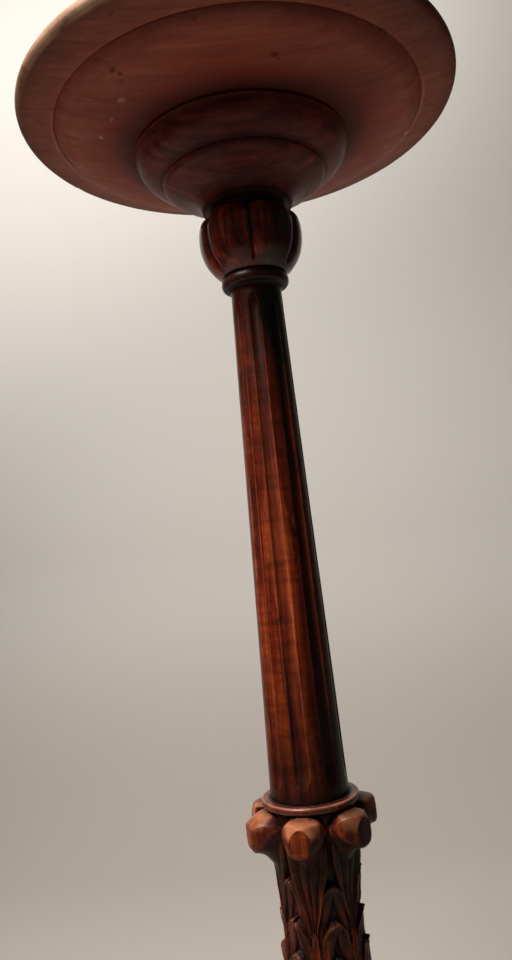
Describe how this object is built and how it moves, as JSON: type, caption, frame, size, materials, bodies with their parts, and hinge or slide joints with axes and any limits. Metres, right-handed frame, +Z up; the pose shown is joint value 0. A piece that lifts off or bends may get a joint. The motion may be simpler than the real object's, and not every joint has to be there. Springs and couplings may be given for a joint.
{
  "type": "pedestal stand",
  "caption": "Tall turned and carved hardwood pedestal stand: a round dished top on a fluted column and leaf-carved baluster, held up by cabriole legs.",
  "frame": {"origin": "on the turning axis, on the floor under the three foot pads", "axes": "+Z up the turning axis; the front leg points along -Y; +X to the right seen from the front"},
  "size_m": [0.305, 0.3132, 0.954],
  "materials": {
    "top_wood": "worn dark varnish",
    "boss_wood": "dark varnish",
    "column_wood": "glossy red-brown French polish",
    "carved_wood": "glossy red-brown French polish, dark in the hollows",
    "leg_wood": "glossy red-brown French polish",
    "iron": "black japanned",
    "screw_steel": "plain",
    "felt": "green felt"
  },
  "bodies": {
    "root": {"top_disc": "top_wood", "top_boss": "boss_wood", "knop": "column_wood", "column": "column_wood", "collar_ring": "carved_wood", "acanthus_baluster": "carved_wood", "base_ring": "leg_wood", "leg_hub": "leg_wood", "brace_plate": "iron", "boss_screw_1": "screw_steel", "boss_screw_2": "screw_steel", "boss_screw_3": "screw_steel", "leg_front": "leg_wood", "leg_screw_front": "screw_steel", "hub_screw_front": "screw_steel", "foot_pad_front": "felt", "leg_right": "leg_wood", "leg_screw_right": "screw_steel", "hub_screw_right": "screw_steel", "foot_pad_right": "felt", "leg_left": "leg_wood", "leg_screw_left": "screw_steel", "hub_screw_left": "screw_steel", "foot_pad_left": "felt"}
  },
  "joints": []
}
